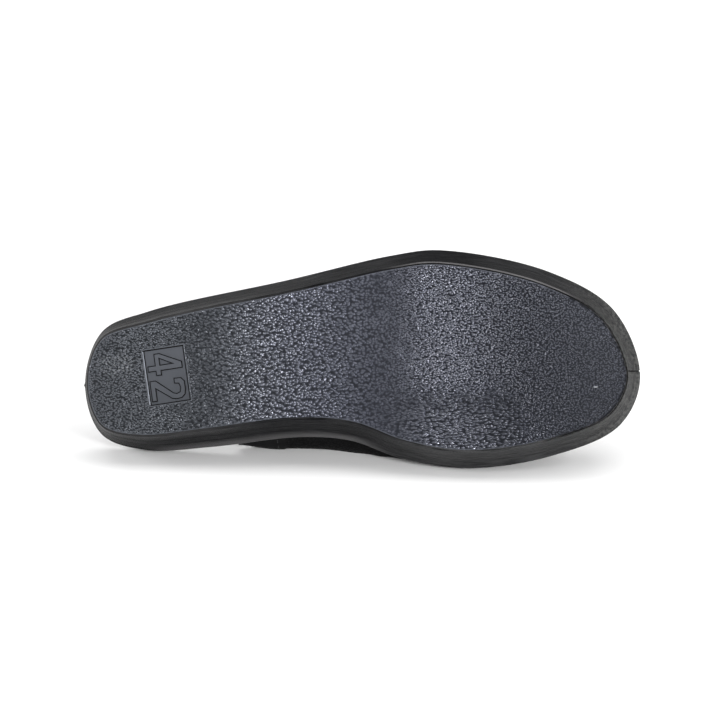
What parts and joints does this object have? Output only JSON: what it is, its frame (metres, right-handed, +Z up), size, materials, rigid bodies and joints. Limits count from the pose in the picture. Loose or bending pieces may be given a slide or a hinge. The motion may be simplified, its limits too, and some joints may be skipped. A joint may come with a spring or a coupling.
{
  "type": "mule slipper",
  "caption": "Backless closed-toe slipper for the right foot, with a hollow vamp, an insole and a moulded wedge sole, lying on its inner side.",
  "frame": {"origin": "centre of the part's box on the floor that it lies on", "axes": "+X from heel to toe, -Y is the side that the tread faces, +Z up with the shoe on its inner side"},
  "size_m": [0.2848, 0.0924, 0.1014],
  "materials": {
    "sole": "black moulded polyurethane with a leather-like grain on the tread and a smooth satin wall",
    "footbed": "dark textile over foam",
    "vamp": "black grained leather with a smooth binding along the top line"
  },
  "bodies": {
    "root": {"outsole": "sole", "insole": "footbed", "upper": "vamp"}
  },
  "joints": []
}
